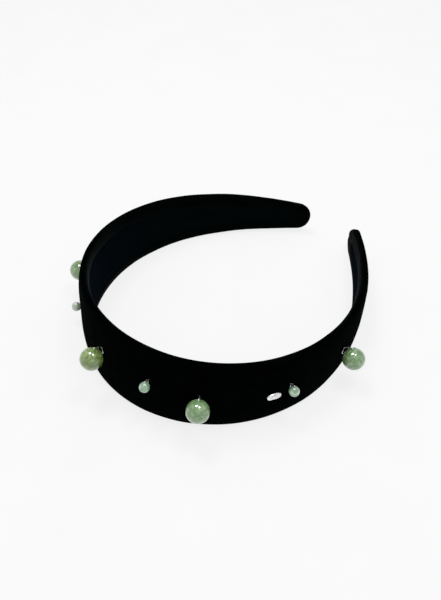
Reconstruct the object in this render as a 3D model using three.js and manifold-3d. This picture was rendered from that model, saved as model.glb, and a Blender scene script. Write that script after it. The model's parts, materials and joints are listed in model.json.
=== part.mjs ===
// Padded velvet headband with small jade beads hanging on its outer face.
//
// The band is a springy plastic strip, a foam pad on its outer side, a velvet cover that wraps the edges
// and a smooth lining glued to the inner face. Nine beads hang on wire bails from stitched thread loops,
// and a plain metal tag sits on the right side. The arms spring open where the crown ends, so every layer
// of the band is split there into a crown and two arms.
//
// Units are millimetres and +Z is up. The band lies on its lower edge, crown at -Y and opening at +Y.
import * as THREE from 'three';
import { mergeVertices } from 'three/addons/utils/BufferGeometryUtils.js';
import Module from 'manifold-3d';

const wasm = await Module();
wasm.setup();

// Centreline: curvature falls from the crown to nothing at the tips, as (1 - b u^2 - (1 - b) u^4) / R, where
// u is the share of a half's length and b its unbendShare. The right half is a little longer and straighter.
const CROWN_RADIUS = 59.5;
const LEFT_HALF = { length: 193.6, unbendShare: 0.515 };
const RIGHT_HALF = { length: 202.5, unbendShare: 0.67 };
const LYING_TILT = THREE.MathUtils.degToRad(3.85);

// Band width along a half, and the section: domed outside, nearly flat inside, rolled edges.
const CROWN_WIDTH = 40.5;
const TIP_WIDTH = 13.3;
const TAPER_START = 1.606;
const TAPER_END = 0.914;
const BAND_THICKNESS = 5.3;
const DOME_EXPONENT = 2.6;
const FLAT_EXPONENT = 5;
const RESTING_FLAT_DEPTH = 0.7;

// Layers, from the inner face to the outer face.
const GAP = 0.3;
const VELVET = 0.8;
const EDGE_TURN = 6;
const LINING_RECESS = 0.1;
const LINING_THICKNESS = 0.7;
const CORE_THICKNESS = 1.2;
const CORE_FLOOR = -1.6;
const CORE_INSET = 4;
const FOAM_FLOOR = -0.15;
const INNER_END = 9;

// Where the arms start, and the slit left between the crown and an arm.
const SPLIT_AT = 64;
const SLIT = 0.3;

// Facets.
const STATION_STEP = 7;
const OUTER_FACETS = 10;
const INNER_FACETS = 6;
const TIP_STEPS = 5;
const WIRE_SIDES = 6;
const BEND_STEPS = 5;
const STAPLE_STEPS = 3;

// A bead with its bail and thread loop. The hole runs across the shoulder of the bead that faces the loop,
// holeDistance from its centre. The bail is bent round cornerBend at both ends of its leg and round
// loopBend at its apex, whose centre is the thread loop's bar. lean is the bail's angle above the horizontal.
const LARGE = {
  radius: 5, segments: [18, 12], standoff: 1.25, lean: THREE.MathUtils.degToRad(35),
  hole: 0.5, holeDistance: 4, wire: 0.25, legHalf: 3.1, cornerBend: 0.42,
  barDistance: 5.8, loopBend: 0.68, barHalf: 0.85, thread: 0.2,
};
const SMALL = {
  radius: 2.3, segments: [14, 10], standoff: 1, lean: THREE.MathUtils.degToRad(35),
  hole: 0.34, holeDistance: 1.65, wire: 0.2, legHalf: 1.72, cornerBend: 0.33,
  barDistance: 2.9, loopBend: 0.55, barHalf: 0.65, thread: 0.16,
};

// Dangles from the left tip to the right tip: kind, distance along the band from the crown's middle,
// height of the bead's centre above the band's mid-height.
const DANGLES = [
  { kind: LARGE, along: -113, height: 1.2 },
  { kind: SMALL, along: -82, height: 1.9 },
  { kind: LARGE, along: -60, height: -3 },
  { kind: SMALL, along: -43, height: -9.5 },
  { kind: LARGE, along: 0, height: 4 },
  { kind: SMALL, along: 24, height: 3.5 },
  { kind: LARGE, along: 45, height: 0.4 },
  { kind: SMALL, along: 82, height: 1.9 },
  { kind: LARGE, along: 113, height: 1.2 },
];
const TAG = { along: 74.9, height: -1, length: 6.4, width: 3.4, thickness: 0.7, bevel: 0.25 };

const MATERIALS = {
  velvet: { color: 0x050506, roughness: 0.95, metalness: 0 },
  foam: { color: 0xd9d4c4, roughness: 0.9, metalness: 0 },
  core: { color: 0x1b1b1d, roughness: 0.45, metalness: 0 },
  lining: { color: 0x070a16, roughness: 0.6, metalness: 0 },
  jade: { color: 0x8fb488, roughness: 0.15, metalness: 0 },
  silver: { color: 0xd8d9dc, roughness: 0.2, metalness: 1 },
  thread: { color: 0x08080a, roughness: 0.9, metalness: 0 },
};

// ---- The band's centreline and outline ----

function halfAt(s) {
  return s > 0 ? RIGHT_HALF : LEFT_HALF;
}

function turnAt(s) {
  const { length, unbendShare } = halfAt(s);
  const u = s / length;
  return (s / CROWN_RADIUS) * (1 - (unbendShare * u ** 2) / 3 - ((1 - unbendShare) * u ** 4) / 5);
}

function pointAt(s) {
  const steps = 64;
  const ds = s / steps;
  let x = 0;
  let y = 0;
  for (let i = 0; i < steps; i += 1) {
    const turn = turnAt((i + 0.5) * ds);
    x += Math.cos(turn) * ds;
    y += Math.sin(turn) * ds;
  }
  return new THREE.Vector3(x, y, 0);
}

// The frame of the band at a distance s from the crown's middle: X outward, Y along the band, Z across it.
function bandFrame(s) {
  const turn = turnAt(s);
  const outward = new THREE.Vector3(Math.sin(turn), -Math.cos(turn), 0);
  const along = new THREE.Vector3(Math.cos(turn), Math.sin(turn), 0);
  const across = new THREE.Vector3(0, 0, 1);
  return { origin: pointAt(s), outward, along, across };
}

function halfWidthAt(s) {
  const u = Math.min(Math.abs(s) / halfAt(s).length, 1);
  return (TIP_WIDTH + (CROWN_WIDTH - TIP_WIDTH) * (1 - u ** TAPER_START) ** TAPER_END) / 2;
}

// How much of a half size is left at s, where the tip rounds off over its last `reach` millimetres.
function tipRounding(s, reach) {
  const left = Math.min(Math.max((halfAt(s).length - Math.abs(s)) / reach, 0.0004), 1);
  return Math.sqrt(1 - (1 - left) ** 2);
}

// Even steps from one distance to another. Their number is odd, so the crown has a facet at its middle.
function stations(from, to) {
  const count = 2 * Math.round(Math.abs(to - from) / (2 * STATION_STEP)) + 1;
  return Array.from({ length: count + 1 }, (_, i) => from + ((to - from) * i) / count);
}

// ---- Solids ----

// Flips a closed geometry if its faces point inwards.
function facingOut(positions, triangles) {
  let volume = 0;
  const corner = (i) => positions[triangles[i]];
  for (let i = 0; i < triangles.length; i += 3) {
    volume += corner(i).dot(corner(i + 1).clone().cross(corner(i + 2)));
  }
  if (volume < 0) triangles.reverse();
  const geometry = new THREE.BufferGeometry().setFromPoints(positions);
  geometry.setIndex(triangles);
  return geometry;
}

// A closed body through rings of points that all hold the same number of points.
// outline is the flat polygon that the two end caps are cut from.
function loft(rings, outline) {
  const size = outline.length;
  const positions = rings.flat();
  const triangles = [];
  for (let i = 0; i < rings.length - 1; i += 1) {
    for (let j = 0; j < size; j += 1) {
      const a = i * size + j;
      const b = i * size + ((j + 1) % size);
      triangles.push(a, b, b + size, a, b + size, a + size);
    }
  }
  const last = (rings.length - 1) * size;
  const clockwise = THREE.ShapeUtils.isClockWise(outline);
  THREE.ShapeUtils.triangulateShape(outline, []).forEach(([a, b, c]) => {
    const cap = clockwise ? [a, b, c] : [c, b, a];
    triangles.push(...cap, ...cap.map((k) => last + k).reverse());
  });
  return facingOut(positions, triangles);
}

// Sweeps section(s), a list of points with x outward and y across the band, through the given distances.
function sweepBand(distances, section) {
  const rings = distances.map((s) => {
    const { origin, outward, across } = bandFrame(s);
    return section(s).map((p) => origin.clone().addScaledVector(outward, p.x).addScaledVector(across, p.y));
  });
  return loft(rings, section(distances[0]));
}

// A round wire along points that lie in one plane, whose normal is given.
function wire(points, radius, normal) {
  const rings = points.map((point, i) => {
    const before = points[Math.max(i - 1, 0)];
    const after = points[Math.min(i + 1, points.length - 1)];
    const side = after.clone().sub(before).normalize().cross(normal);
    return circle(radius, WIRE_SIDES).map((p) =>
      point.clone().addScaledVector(side, p.x).addScaledVector(normal, p.y));
  });
  return loft(rings, circle(radius, WIRE_SIDES));
}

function circle(radius, sides) {
  return Array.from({ length: sides }, (_, i) => {
    const angle = (2 * Math.PI * i) / sides;
    return new THREE.Vector2(radius * Math.cos(angle), radius * Math.sin(angle));
  });
}

// A wire loop pulled tight round pegs that are listed anticlockwise, as one arc of points for each peg.
function aroundPegs(pegs) {
  const leaving = pegs.map((peg, i) => {
    const next = pegs[(i + 1) % pegs.length];
    const reach = next.centre.clone().sub(peg.centre);
    return reach.angle() - Math.acos((peg.radius - next.radius) / reach.length());
  });
  return pegs.map((peg, i) => {
    const from = leaving[(i + pegs.length - 1) % pegs.length];
    const swing = THREE.MathUtils.euclideanModulo(leaving[i] - from, 2 * Math.PI);
    return Array.from({ length: BEND_STEPS + 1 }, (_, k) => {
      const angle = from + (swing * k) / BEND_STEPS;
      const rim = new THREE.Vector2(Math.cos(angle), Math.sin(angle)).multiplyScalar(peg.radius);
      return peg.centre.clone().add(rim);
    });
  });
}

// Points of a bend that replaces a square corner, starting and ending `cut` away from it.
function squareBend(before, corner, after, cut) {
  const start = corner.clone().addScaledVector(before.clone().sub(corner).normalize(), cut);
  const end = corner.clone().addScaledVector(after.clone().sub(corner).normalize(), cut);
  return new THREE.QuadraticBezierCurve3(start, corner, end).getPoints(STAPLE_STEPS);
}

function toManifold(geometry) {
  const bare = geometry.clone();
  bare.deleteAttribute('normal');
  bare.deleteAttribute('uv');
  const merged = mergeVertices(bare, 1e-4);
  const vertProperties = new Float32Array(merged.attributes.position.array);
  const triVerts = new Uint32Array(merged.index.array);
  return new wasm.Manifold(new wasm.Mesh({ numProp: 3, vertProperties, triVerts }));
}

function toGeometry(manifold) {
  const { vertProperties, triVerts } = manifold.getMesh();
  const geometry = new THREE.BufferGeometry();
  geometry.setAttribute('position', new THREE.BufferAttribute(vertProperties, 3));
  geometry.setIndex(new THREE.BufferAttribute(triVerts, 1));
  return geometry;
}

function mesh(name, geometry, material) {
  const part = new THREE.Mesh(geometry, new THREE.MeshStandardMaterial(MATERIALS[material]));
  part.name = name;
  return part;
}

// ---- Sections of the layers ----

// A superellipse arc from angle `from` to angle `to`, where 0 is straight outward.
function superArc(halfDepth, halfWidth, exponent, from, to, count) {
  const power = (v) => Math.sign(v) * Math.abs(v) ** (2 / exponent);
  return Array.from({ length: count + 1 }, (_, i) => {
    const angle = from + ((to - from) * i) / count;
    return new THREE.Vector2(halfDepth * power(Math.cos(angle)), halfWidth * power(Math.sin(angle)));
  });
}

function envelopeSection(s) {
  const halfWidth = halfWidthAt(s) * tipRounding(s, TIP_WIDTH / 2);
  const halfDepth = (BAND_THICKNESS / 2) * tipRounding(s, BAND_THICKNESS / 2);
  const right = Math.PI / 2;
  const dome = superArc(halfDepth, halfWidth, DOME_EXPONENT, -right, right, OUTER_FACETS);
  const flat = superArc(halfDepth, halfWidth, FLAT_EXPONENT, right, 3 * right, OUTER_FACETS);
  return [...dome.slice(0, -1), ...flat.slice(0, -1)];
}

// The room inside the velvet, with the slot through its inner face where the lining lies.
function cavitySection(s) {
  const depth = BAND_THICKNESS / 2 - VELVET;
  const width = halfWidthAt(s) - VELVET;
  const slot = halfWidthAt(s) - EDGE_TURN;
  const right = Math.PI / 2;
  const dome = superArc(depth, width, DOME_EXPONENT, -right, right, INNER_FACETS);
  const cornerAngle = right + 0.75;
  const upper = superArc(depth, width, FLAT_EXPONENT, right, cornerAngle, 2).slice(1);
  const floor = -depth;
  const outside = -BAND_THICKNESS;
  const mirrored = upper.map((p) => new THREE.Vector2(p.x, -p.y)).reverse();
  return [
    ...dome,
    ...upper,
    new THREE.Vector2(floor, slot),
    new THREE.Vector2(outside, slot),
    new THREE.Vector2(outside, -slot),
    new THREE.Vector2(floor, -slot),
    ...mirrored,
  ];
}

function slabSection(floor, thickness, halfWidth) {
  return [
    new THREE.Vector2(floor, -halfWidth),
    new THREE.Vector2(floor + thickness, -halfWidth),
    new THREE.Vector2(floor + thickness, halfWidth),
    new THREE.Vector2(floor, halfWidth),
  ];
}

function liningSection(s) {
  const floor = LINING_RECESS - BAND_THICKNESS / 2;
  return slabSection(floor, LINING_THICKNESS, halfWidthAt(s) - EDGE_TURN - GAP);
}

function coreSection(s) {
  return slabSection(CORE_FLOOR, CORE_THICKNESS, halfWidthAt(s) - CORE_INSET);
}

function foamSection(s) {
  const inset = VELVET + GAP;
  const halfWidth = halfWidthAt(s) - inset;
  const right = Math.PI / 2;
  const dome = superArc(BAND_THICKNESS / 2 - inset, halfWidth, DOME_EXPONENT, -right, right, INNER_FACETS);
  return [...dome, new THREE.Vector2(FOAM_FLOOR, halfWidth), new THREE.Vector2(FOAM_FLOOR, -halfWidth)];
}

// ---- The band ----

// The stretches of the band: the crown, and the two arms out to their rounded tips.
const ARM_START = SPLIT_AT + SLIT / 2;
const CROWN_END = SPLIT_AT - SLIT / 2;
const SEGMENTS = [
  { name: 'crown', side: 1, from: -CROWN_END, to: CROWN_END },
  { name: 'left_arm', side: -1, from: ARM_START, to: LEFT_HALF.length },
  { name: 'right_arm', side: 1, from: ARM_START, to: RIGHT_HALF.length },
];

function isArm(segment) {
  return segment.from === ARM_START;
}

// Distances for the outside of a segment. An arm's last stretch closes in even steps of the tip's arc.
function outerDistances(segment) {
  if (!isArm(segment)) return stations(segment.from, segment.to);
  const reach = TIP_WIDTH / 2;
  const straight = stations(segment.from, segment.to - reach);
  const rounded = Array.from({ length: TIP_STEPS }, (_, i) => {
    const angle = ((i + 1) / TIP_STEPS) * (Math.PI / 2);
    return segment.to - reach + reach * Math.sin(angle);
  });
  return [...straight, ...rounded].map((s) => s * segment.side);
}

// Distances for a layer inside the velvet, which stops short of an arm's tip.
function innerDistances(segment) {
  const end = isArm(segment) ? segment.to - INNER_END : segment.to;
  return stations(segment.from, end).map((s) => s * segment.side);
}

// Distances for the room inside the velvet, open at the segment's split ends.
function cavityDistances(segment) {
  const distances = innerDistances(segment);
  const overrun = 1;
  const first = distances[0];
  const last = distances[distances.length - 1];
  if (isArm(segment)) {
    return [first - segment.side * overrun, ...distances, last + segment.side * GAP];
  }
  return [first - overrun, ...distances, last + overrun];
}

function tilted(vector) {
  return vector.clone().applyAxisAngle(new THREE.Vector3(1, 0, 0), -LYING_TILT);
}

// The height, in the lying position, below which the velvet is pressed flat by the surface it lies on.
function restingHeight() {
  const edge = stations(-LEFT_HALF.length, RIGHT_HALF.length).map((s) => {
    const low = pointAt(s);
    low.z = -halfWidthAt(s);
    return tilted(low).z;
  });
  return Math.min(...edge) + RESTING_FLAT_DEPTH;
}

function belowRestingHeight() {
  const size = 400;
  const slab = new THREE.BoxGeometry(size, size, size);
  slab.translate(0, 0, restingHeight() - size / 2);
  slab.rotateX(LYING_TILT);
  return toManifold(slab);
}

function velvetCover(segment) {
  const outside = toManifold(sweepBand(outerDistances(segment), envelopeSection));
  const inside = toManifold(sweepBand(cavityDistances(segment), cavitySection));
  return toGeometry(outside.subtract(inside).subtract(belowRestingHeight()));
}

function bandPieces(segment) {
  const inner = innerDistances(segment);
  return [
    mesh(`velvet_cover_${segment.name}`, velvetCover(segment), 'velvet'),
    mesh(`foam_pad_${segment.name}`, sweepBand(inner, foamSection), 'foam'),
    mesh(`spring_core_${segment.name}`, sweepBand(inner, coreSection), 'core'),
    mesh(`lining_${segment.name}`, sweepBand(inner, liningSection), 'lining'),
  ];
}

// ---- Dangles and tag ----

// A group whose X points out of the band, Y along it and Z across it, on the velvet's outer face.
function onOuterFace(along, height) {
  const { origin, outward, along: forward, across } = bandFrame(along);
  const group = new THREE.Group();
  group.setRotationFromMatrix(new THREE.Matrix4().makeBasis(outward, forward, across));
  group.position.copy(origin).addScaledVector(outward, BAND_THICKNESS / 2);
  group.position.z = height;
  return group;
}

// Directions in a dangle's own plane: from the bead's centre to the thread loop, and along the bead's hole.
function dangleAxes({ radius, standoff, lean }) {
  return {
    centre: new THREE.Vector3(radius + standoff, 0, 0),
    toLoop: new THREE.Vector3(-Math.cos(lean), 0, Math.sin(lean)),
    alongHole: new THREE.Vector3(Math.sin(lean), 0, Math.cos(lean)),
  };
}

function beadGeometry(kind) {
  const { centre, toLoop, alongHole } = dangleAxes(kind);
  const ball = new THREE.SphereGeometry(kind.radius, ...kind.segments);
  ball.translate(centre.x, centre.y, centre.z);
  const drill = new THREE.CylinderGeometry(kind.hole, kind.hole, kind.radius * 3, 8);
  const turn = new THREE.Quaternion().setFromUnitVectors(new THREE.Vector3(0, 1, 0), alongHole);
  drill.applyQuaternion(turn);
  const hole = centre.clone().addScaledVector(toLoop, kind.holeDistance);
  drill.translate(hole.x, hole.y, hole.z);
  return toGeometry(toManifold(ball).subtract(toManifold(drill)));
}

// A triangle of wire: one leg through the bead's hole, the apex round the thread loop,
// a slit in its top side.
function bailGeometry(kind) {
  const { centre, toLoop, alongHole } = dangleAxes(kind);
  const corner = kind.holeDistance + kind.cornerBend;
  const pegs = [
    { centre: new THREE.Vector2(0, kind.barDistance), radius: kind.loopBend },
    { centre: new THREE.Vector2(-kind.legHalf, corner), radius: kind.cornerBend },
    { centre: new THREE.Vector2(kind.legHalf, corner), radius: kind.cornerBend },
  ];
  const loop = aroundPegs(pegs).flat();
  const first = loop[0];
  const last = loop[loop.length - 1];
  const middle = first.clone().lerp(last, 0.5);
  const halfSlit = first.clone().sub(last).setLength(GAP / 2);
  const path = [middle.clone().add(halfSlit), ...loop, middle.clone().sub(halfSlit)];
  const points = path.map((p) => centre.clone().addScaledVector(alongHole, p.x).addScaledVector(toLoop, p.y));
  return wire(points, kind.wire, new THREE.Vector3(0, 1, 0));
}

// A staple of thread that stands on the velvet and runs along the band inside the bail's apex.
function threadLoopGeometry(kind) {
  const { centre, toLoop } = dangleAxes(kind);
  const bar = centre.clone().addScaledVector(toLoop, kind.barDistance);
  const corners = [-1, 1].map((side) => bar.clone().setY(side * kind.barHalf));
  const feet = corners.map((corner) => corner.clone().setX(GAP));
  const cut = 2 * kind.thread;
  const path = [
    feet[0],
    ...squareBend(feet[0], corners[0], corners[1], cut),
    ...squareBend(corners[0], corners[1], feet[1], cut),
    feet[1],
  ];
  return wire(path, kind.thread, new THREE.Vector3(0, 0, 1));
}

function danglePieces({ kind, along, height }, index) {
  const group = onOuterFace(along, height);
  const number = index + 1;
  group.add(mesh(`bead_${number}`, beadGeometry(kind), 'jade'));
  group.add(mesh(`wire_bail_${number}`, bailGeometry(kind), 'silver'));
  group.add(mesh(`thread_loop_${number}`, threadLoopGeometry(kind), 'thread'));
  return group;
}

// A plain oblong tag with round ends and softened edges, lying on the velvet.
function metalTag() {
  const { length, width, thickness, bevel } = TAG;
  const radius = width / 2 - bevel;
  const reach = length / 2 - width / 2;
  const outline = new THREE.Shape();
  outline.absarc(0, reach, radius, 0, Math.PI, false);
  outline.absarc(0, -reach, radius, Math.PI, 2 * Math.PI, false);
  const plate = new THREE.ExtrudeGeometry(outline, {
    depth: thickness - 2 * bevel,
    bevelThickness: bevel,
    bevelSize: bevel,
    bevelSegments: 2,
    curveSegments: 8,
  });
  plate.rotateY(Math.PI / 2);
  plate.translate(GAP + bevel, 0, 0);
  const group = onOuterFace(TAG.along, TAG.height);
  group.add(mesh('metal_tag', toGeometry(toManifold(plate)), 'silver'));
  return group;
}

// ---- Assembly ----

const band = new THREE.Group();
SEGMENTS.forEach((segment) => band.add(...bandPieces(segment)));
DANGLES.forEach((dangle, index) => band.add(danglePieces(dangle, index)));
band.add(metalTag());
band.rotation.x = -LYING_TILT;

// The origin is the middle of the footprint, on the surface that the band lies on.
const group = new THREE.Group();
group.add(band);
const box = new THREE.Box3().setFromObject(group, true);
const middle = box.getCenter(new THREE.Vector3());
band.position.set(-middle.x, -middle.y, -box.min.z);

export default group;
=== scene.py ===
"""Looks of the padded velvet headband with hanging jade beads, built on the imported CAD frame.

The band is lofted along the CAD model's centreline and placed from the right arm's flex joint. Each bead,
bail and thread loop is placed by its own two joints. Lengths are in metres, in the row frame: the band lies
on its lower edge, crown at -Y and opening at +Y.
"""

import json
import math

import bpy
import numpy as np
from mathutils import Matrix, Vector, noise

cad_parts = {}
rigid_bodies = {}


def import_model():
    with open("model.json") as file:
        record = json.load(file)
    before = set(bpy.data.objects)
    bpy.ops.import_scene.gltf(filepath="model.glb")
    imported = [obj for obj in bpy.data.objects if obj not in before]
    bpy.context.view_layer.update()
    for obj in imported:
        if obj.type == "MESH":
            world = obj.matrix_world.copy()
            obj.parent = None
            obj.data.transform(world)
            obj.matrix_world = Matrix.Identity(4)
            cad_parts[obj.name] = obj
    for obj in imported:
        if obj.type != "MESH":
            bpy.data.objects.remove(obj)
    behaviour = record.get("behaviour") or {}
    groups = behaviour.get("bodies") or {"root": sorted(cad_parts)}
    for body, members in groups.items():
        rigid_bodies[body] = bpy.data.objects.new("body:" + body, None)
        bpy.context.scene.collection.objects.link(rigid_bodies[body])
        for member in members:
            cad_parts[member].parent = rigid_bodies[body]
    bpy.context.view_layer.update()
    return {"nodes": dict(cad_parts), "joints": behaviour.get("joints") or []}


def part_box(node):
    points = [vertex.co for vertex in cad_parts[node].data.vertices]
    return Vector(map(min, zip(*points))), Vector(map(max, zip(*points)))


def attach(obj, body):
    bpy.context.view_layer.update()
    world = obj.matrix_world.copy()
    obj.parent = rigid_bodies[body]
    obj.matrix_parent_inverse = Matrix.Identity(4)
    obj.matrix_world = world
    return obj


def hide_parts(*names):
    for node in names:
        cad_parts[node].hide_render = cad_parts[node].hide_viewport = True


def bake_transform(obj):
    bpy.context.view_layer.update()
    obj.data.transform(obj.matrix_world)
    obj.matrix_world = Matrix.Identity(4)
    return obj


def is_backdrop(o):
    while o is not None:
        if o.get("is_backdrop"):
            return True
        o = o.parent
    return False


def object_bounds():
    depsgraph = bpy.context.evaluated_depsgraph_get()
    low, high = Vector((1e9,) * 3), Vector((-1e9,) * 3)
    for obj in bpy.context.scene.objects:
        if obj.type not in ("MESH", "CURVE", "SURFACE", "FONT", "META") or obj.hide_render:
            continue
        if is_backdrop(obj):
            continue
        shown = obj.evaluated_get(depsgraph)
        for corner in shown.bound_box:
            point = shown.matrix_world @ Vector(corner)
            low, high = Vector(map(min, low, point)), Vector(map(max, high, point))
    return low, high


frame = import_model()

MM = 0.001

# Centreline, outline and section of the band: the CAD model's driving dimensions.
LEFT_LENGTH = 193.6 * MM
RIGHT_LENGTH = 202.5 * MM
CROWN_RADIUS = 59.5 * MM
LEFT_UNBEND_SHARE = 0.515
RIGHT_UNBEND_SHARE = 0.67
CROWN_WIDTH = 40.5 * MM
TIP_WIDTH = 13.3 * MM
TAPER_START = 1.606
TAPER_END = 0.914
BAND_THICKNESS = 5.3 * MM
DOME_EXPONENT = 2.6
FLAT_EXPONENT = 5

# Layers of the band. The lining's sides tuck under the velvet's lips, and it keeps one width
# over its last stretch, LINING_SHORT.
VELVET = 0.8 * MM
EDGE_TURN = 6 * MM
LINING_END = 9 * MM
LINING_FLOOR = 0.25 * MM
LINING_THICKNESS = 0.55 * MM
LINING_CROWN = 0.15 * MM
LINING_TUCK = 0.1 * MM
LINING_SHORT = 0.3 * MM
LINING_EDGE_RISE = 0.12 * MM
FOAM_INSET = 1.1 * MM
FOAM_FLOOR = -0.15 * MM

# The flex joints stand this far along the band, and this far outside the velvet.
HINGE_AT = 64 * MM
HINGE_STANDOFF = 0.4 * MM
BEND_REACH = 16 * MM

# Fineness of the lofts.
STATION_STEP = 1.4 * MM
TIP_STATION_STEP = 0.5 * MM
TIP_STRETCH = 15 * MM
SKIN_POINTS = 60
DOME_SAMPLES = 60
FLAT_SAMPLES = 90
TIP_CROWDING = 1.5
CENTRELINE_POINTS = 3000
SMALLEST_SHARE = 0.0004

# Fabric: height of the soft waves, the stitched dimples, the rolled lips and the gathers at the tips.
WAVE_HEIGHT = 0.16 * MM
WAVE_LENGTH = 16 * MM
DIMPLE_DEPTH = 0.4 * MM
DIMPLE_RADIUS = 1.3 * MM
LIP_ROLL = 0.5 * MM
LIP_REACH = 1.3 * MM
LIP_ROLL_AT_TIP = 0.2
GATHER_DEPTH = 0.28 * MM
GATHER_REACH = 7 * MM
GATHER_FOLDS = 7
GATHER_STARTS = TIP_WIDTH / 4
REST_SOFTNESS = 0.3 * MM

# From here on, where the cloth is drawn round the edges, the velvet is painted lighter and sheenier:
# painted sheen for the light the rolled edges catch.
PAINTED_SHEEN_PAST_EDGE = 1.2 * MM
FACE_PILE = {"sheen": 0.012, "dark": (0.0001, 0.0004, 0.0002), "light": (0.0006, 0.0012, 0.0009)}
# The second look is the same velvet with a lighter colour and more sheen, painted sheen for the lit rolled
# edges.
PAINTED_SHEEN_PILE = {"sheen": 0.06, "dark": (0.0003, 0.0007, 0.0006), "light": (0.0013, 0.0020, 0.0020)}

# The bunch of velvet at the right tip, where the cloth was drawn together:
# its reach past the tip and its place.
BUNCH_LENGTH = 2.0 * MM
BUNCH_HALF = 2.6 * MM
BUNCH_HEIGHT = 1.2 * MM
BUNCH_REACH = 3.2 * MM

# Cloth simulation of the velvet over the foam, run on an enlarged copy.
SIM_CLOTH = {
    "quality": 5, "mass": 0.4, "tension_stiffness": 20, "compression_stiffness": 20,
    "shear_stiffness": 5, "bending_stiffness": 1,
}
SIM_SCALE = 20.0
SIM_FRAMES = 16
SIM_PRESSURE = 0.15
SIM_SLACK = 0.001
SIM_CAP = 0.6 * MM
SIM_HELD_COLUMNS = 3
SIM_HELD_TIP_ROWS = 8
SIM_TACK_RADIUS = 0.7 * MM

# Beads, bails and thread loops, as in the CAD model.
LARGE = {
    "hole": 0.5 * MM, "hole_distance": 4 * MM, "wire": 0.25 * MM, "leg_half": 3.1 * MM,
    "corner_bend": 0.42 * MM, "loop_bend": 0.68 * MM, "bar_half": 0.85 * MM, "thread": 0.2 * MM,
}
SMALL = {
    "hole": 0.34 * MM, "hole_distance": 1.65 * MM, "wire": 0.2 * MM, "leg_half": 1.72 * MM,
    "corner_bend": 0.33 * MM, "loop_bend": 0.55 * MM, "bar_half": 0.65 * MM, "thread": 0.16 * MM,
}
LARGE_RADIUS_FROM = 4 * MM
BAIL_SLIT = 0.3 * MM
LOOP_ROOT = 0.8 * MM
THREAD_LAY = 1.6 * MM
THREAD_POINTS = 60
CORD_GROOVE = 0.2
BEAD_UNEVENNESS = 0.006
BEAD_POLISH_WAVES = 0.0015
BEAD_SHARP_ANGLE = 32
DANGLE_COUNT = 9

# The tag's rim and sunk face, from the back: height as a share of its thickness, and size.
TAG_LEVELS = [
    (0.0, 1.0), (0.6, 1.0), (0.85, 0.96), (1.0, 0.88),
    (1.0, 0.80), (0.88, 0.74), (0.86, 0.4), (0.9, 0.05),
]

# Jade in four casts: dark, middle and pale colours of the stone, as linear RGB.
JADE_CASTS = {
    "green": [(0.08, 0.155, 0.06), (0.15, 0.265, 0.115), (0.32, 0.46, 0.27)],
    "olive": [(0.08, 0.13, 0.025), (0.145, 0.225, 0.06), (0.32, 0.41, 0.17)],
    "pale": [(0.13, 0.22, 0.14), (0.235, 0.36, 0.255), (0.48, 0.62, 0.50)],
    "milky": [(0.26, 0.34, 0.24), (0.42, 0.51, 0.41), (0.68, 0.74, 0.68)],
}
OLIVE_BEADS = (1, 5)
MILKY_BEADS = (4,)

# Camera: its direction and distance from a point behind the crown, in the band's plane,
# and its sideways pan.
CAMERA_AZIMUTH = math.radians(48.14)
CAMERA_ELEVATION = math.radians(45.615)
CAMERA_ROLL = math.radians(-0.228)
CAMERA_DISTANCE = 324 * MM
CAMERA_AIM_BEHIND_CROWN = 72.2 * MM
CAMERA_PAN = (6.288 * MM, 6.988 * MM)
CAMERA_LENS = 40.17
SENSOR = 36.0

# Studio: even surroundings, a table lit from within, and two small soft lamps that make the highlights.
SURROUND = 0.72
TABLE_GLOW = 0.80
TABLE_HALF = 3.0
KEY_LAMP = {"location": (-0.16, -0.02, 0.60), "size": 0.20, "power": 1.5}
FILL_LAMP = {"location": (0.12, 0.10, 0.60), "size": 0.16, "power": 1.0}
LAMP_TARGET = (0, 0, 0.02)


# ---- Meshes ----

def mesh_piece(name, points, faces, smooth_angle=40):
    """A mesh object from points and faces, smooth except across edges sharper than smooth_angle."""
    mesh = bpy.data.meshes.new(name)
    mesh.from_pydata([tuple(p) for p in points], [], [tuple(f) for f in faces])
    mesh.validate()
    mesh.shade_smooth()
    mesh.set_sharp_from_angle(angle=math.radians(smooth_angle))
    piece = bpy.data.objects.new(name, mesh)
    bpy.context.scene.collection.objects.link(piece)
    return piece


def loft(name, rings, cap_pairs, smooth_angle=40):
    """A closed body through rings of equal size, which run round the way that faces them outwards.

    rings has the shape (stations, points, 3). cap_pairs lists the quads, as point numbers of one ring, that
    close both ends.
    """
    count, size = rings.shape[:2]
    faces = []
    for i in range(count - 1):
        for j in range(size):
            a = i * size + j
            b = i * size + (j + 1) % size
            faces.append((a, b, b + size, a + size))
    last = (count - 1) * size
    faces += [tuple(reversed(pair)) for pair in cap_pairs]
    faces += [tuple(last + k for k in pair) for pair in cap_pairs]
    piece = mesh_piece(name, rings.reshape(-1, 3), faces, smooth_angle)
    face_outwards(piece.data)
    return piece


def face_outwards(mesh):
    """Turns the faces of a closed mesh outwards if its volume comes out negative."""
    points = np.array([v.co for v in mesh.vertices])
    volume = 0.0
    for face in mesh.polygons:
        first, *rest = (points[i] for i in face.vertices)
        for second, third in zip(rest, rest[1:]):
            volume += np.dot(first, np.cross(second, third))
    if volume < 0:
        mesh.flip_normals()


def strip_caps(size):
    """Quads across a ring whose first half runs one way and second half comes back beside it."""
    half = size // 2
    return [(i, i + 1, size - 2 - i, size - 1 - i) for i in range(half - 1)]


def fan_cap(size):
    return [tuple(range(size))]


def add_uv(piece, across_ring, along_band, size):
    """A UV map in metres: U along the band and V round the ring."""
    layer = piece.data.uv_layers.new(name="cloth")
    for loop in piece.data.loops:
        station, point = divmod(loop.vertex_index, size)
        layer.data[loop.index].uv = (along_band[station], across_ring[point])


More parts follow.
